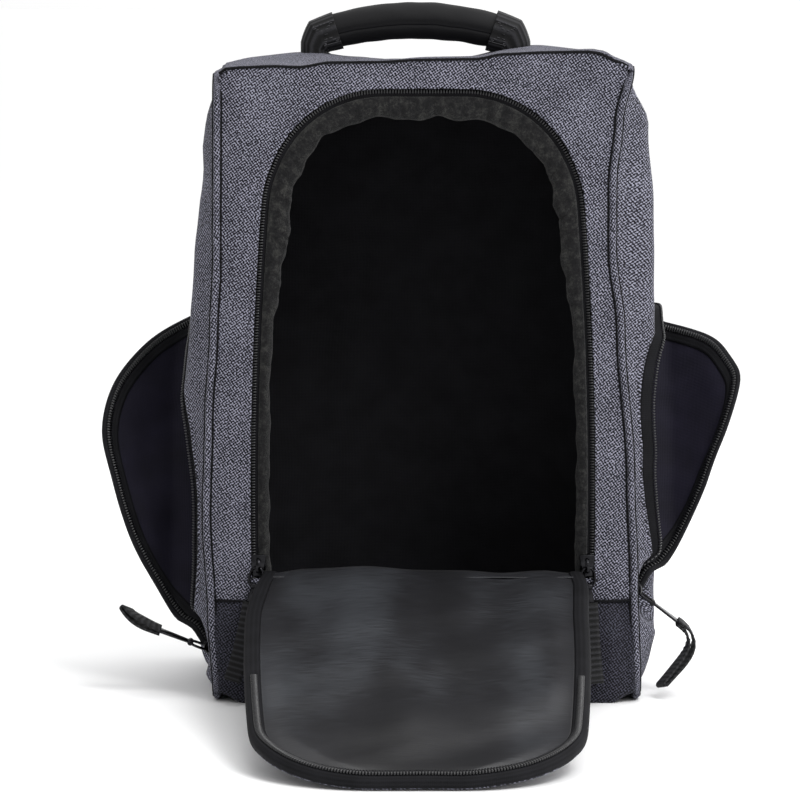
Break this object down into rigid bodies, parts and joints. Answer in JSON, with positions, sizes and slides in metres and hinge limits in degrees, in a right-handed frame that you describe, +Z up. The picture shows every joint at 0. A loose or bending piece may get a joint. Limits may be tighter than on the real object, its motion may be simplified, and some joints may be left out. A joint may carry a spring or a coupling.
{
  "type": "golf shoe bag",
  "caption": "Upright padded shoe bag with an arched zipped door hinged at its foot, a zipped pocket on each side and a padded carry handle.",
  "frame": {"origin": "centre of the base's underside, on the floor the bag stands on", "axes": "front with the door faces -Y, the viewer's right is +X, up is +Z"},
  "size_m": [0.3616, 0.4499, 0.3988],
  "materials": {
    "heather_twill": "melange woven polyester twill",
    "dark_heather_twill": "darker melange woven twill",
    "foam": "padding foam",
    "board": "stiffening board",
    "black_lining": "plain black lining cloth",
    "satin_lining": "charcoal satin-weave lining",
    "fleece_binding": "soft brushed binding",
    "coil_teeth": "black coil",
    "zipper_tape": "black woven tape",
    "grip_cover": "soft padded cover",
    "ribbed_webbing": "cross-ribbed webbing",
    "pull_metal": "plated metal"
  },
  "bodies": {
    "bag": {"front_panel": "heather_twill", "front_base_band": "dark_heather_twill", "back_panel": "heather_twill", "top_panel": "heather_twill", "base_panel": "heather_twill", "left_side_panel": "heather_twill", "right_side_panel": "heather_twill", "back_foam": "foam", "top_foam": "foam", "left_side_foam": "foam", "right_side_foam": "foam", "base_board": "board", "main_lining": "black_lining", "opening_teeth": "coil_teeth", "opening_tape": "zipper_tape", "opening_binding": "fleece_binding", "zipper_end_stops": "coil_teeth", "door_fold_welt": "heather_twill", "left_pocket_tape": "zipper_tape", "left_pocket_teeth": "coil_teeth", "left_pocket_back": "black_lining", "right_pocket_tape": "zipper_tape", "right_pocket_teeth": "coil_teeth", "right_pocket_back": "black_lining", "left_piping": "heather_twill", "right_piping": "heather_twill", "handle_anchors": "ribbed_webbing"},
    "door": {"door_outer": "heather_twill", "door_foam": "foam", "door_lining": "satin_lining", "door_edge_band": "fleece_binding", "door_tape": "zipper_tape", "door_teeth": "coil_teeth"},
    "left_lid": {"left_lid_fabric": "heather_twill", "left_lid_lining": "black_lining", "left_lid_tape": "zipper_tape", "left_lid_teeth": "coil_teeth"},
    "right_lid": {"right_lid_fabric": "heather_twill", "right_lid_lining": "black_lining", "right_lid_tape": "zipper_tape", "right_lid_teeth": "coil_teeth"},
    "handle": {"handle_grip": "grip_cover", "handle_core": "foam", "handle_strap": "ribbed_webbing"},
    "left_main_runner": {"left_main_slider": "pull_metal"},
    "left_main_ring": {"left_main_link": "pull_metal"},
    "left_main_pull": {"left_main_tab": "pull_metal", "left_main_webbing": "ribbed_webbing"},
    "right_main_runner": {"right_main_slider": "pull_metal"},
    "right_main_ring": {"right_main_link": "pull_metal"},
    "right_main_pull": {"right_main_tab": "pull_metal", "right_main_webbing": "ribbed_webbing"},
    "left_pocket_runner": {"left_pocket_slider": "pull_metal"},
    "left_pocket_ring": {"left_pocket_link": "pull_metal"},
    "left_pocket_pull": {"left_pocket_tab": "pull_metal", "left_pocket_webbing": "ribbed_webbing"},
    "right_pocket_runner": {"right_pocket_slider": "pull_metal"},
    "right_pocket_ring": {"right_pocket_link": "pull_metal"},
    "right_pocket_pull": {"right_pocket_tab": "pull_metal", "right_pocket_webbing": "ribbed_webbing"}
  },
  "joints": [
    {"name": "door_fold", "type": "hinge", "parent": "bag", "child": "door", "pos_m": [0, -0.0943, 0.071], "axis": [-1, 0, 0], "range_deg": [0, 104.8]},
    {"name": "left_pocket_fold", "type": "hinge", "parent": "bag", "child": "left_lid", "pos_m": [-0.1186, -0.058, 0.018], "axis": [0, 0.4226, 0.9063], "range_deg": [0, 65]},
    {"name": "right_pocket_fold", "type": "hinge", "parent": "bag", "child": "right_lid", "pos_m": [0.1186, -0.062, 0.05], "axis": [0, -0.4226, -0.9063], "range_deg": [0, 65]},
    {"name": "handle_swing", "type": "hinge", "parent": "bag", "child": "handle", "pos_m": [0, 0, 0.367], "axis": [1, 0, 0], "range_deg": [-25, 25]},
    {"name": "left_main_zip", "type": "slide", "parent": "bag", "child": "left_main_runner", "axis": [0.0334, 0, 0.9994], "range_m": [0, 0.15]},
    {"name": "left_main_ring_swing", "type": "hinge", "parent": "left_main_runner", "child": "left_main_ring", "pos_m": [-0.09371, -0.0922, 0.0783], "axis": [-0.9819, 0, 0.1894], "range_deg": [0, 60]},
    {"name": "left_main_pull_swing", "type": "hinge", "parent": "left_main_ring", "child": "left_main_pull", "pos_m": [-0.09571, -0.0922, 0.06789], "axis": [-0.9819, 0, 0.1894], "range_deg": [0, 50]},
    {"name": "right_main_zip", "type": "slide", "parent": "bag", "child": "right_main_runner", "axis": [-0.0334, 0, 0.9994], "range_m": [0, 0.15]},
    {"name": "right_main_ring_swing", "type": "hinge", "parent": "right_main_runner", "child": "right_main_ring", "pos_m": [0.09371, -0.0922, 0.0783], "axis": [-0.9987, 0, -0.0509], "range_deg": [0, 60]},
    {"name": "right_main_pull_swing", "type": "hinge", "parent": "right_main_ring", "child": "right_main_pull", "pos_m": [0.09424, -0.0922, 0.06771], "axis": [-0.9987, 0, -0.0509], "range_deg": [0, 50]},
    {"name": "left_pocket_zip", "type": "slide", "parent": "bag", "child": "left_pocket_runner", "axis": [0, -0.1815, 0.9834], "range_m": [0, 0.045]},
    {"name": "left_pocket_ring_swing", "type": "hinge", "parent": "left_pocket_runner", "child": "left_pocket_ring", "pos_m": [-0.1242, -0.06012, 0.02731], "axis": [0, 0.9834, 0.1815], "range_deg": [-50, 0]},
    {"name": "left_pocket_pull_swing", "type": "hinge", "parent": "left_pocket_ring", "child": "left_pocket_pull", "pos_m": [-0.13403, -0.06084, 0.03122], "axis": [0, 0.9834, 0.1815], "range_deg": [-25, 25]},
    {"name": "right_pocket_zip", "type": "slide", "parent": "bag", "child": "right_pocket_runner", "axis": [0, -0.155, 0.9879], "range_m": [0, 0.035]},
    {"name": "right_pocket_ring_swing", "type": "hinge", "parent": "right_pocket_runner", "child": "right_pocket_ring", "pos_m": [0.1242, -0.06331, 0.06084], "axis": [0, -0.9879, -0.155], "range_deg": [-20, 60]},
    {"name": "right_pocket_pull_swing", "type": "hinge", "parent": "right_pocket_ring", "child": "right_pocket_pull", "pos_m": [0.13255, -0.06229, 0.0544], "axis": [0, -0.9879, -0.155], "range_deg": [-20, 40]}
  ]
}
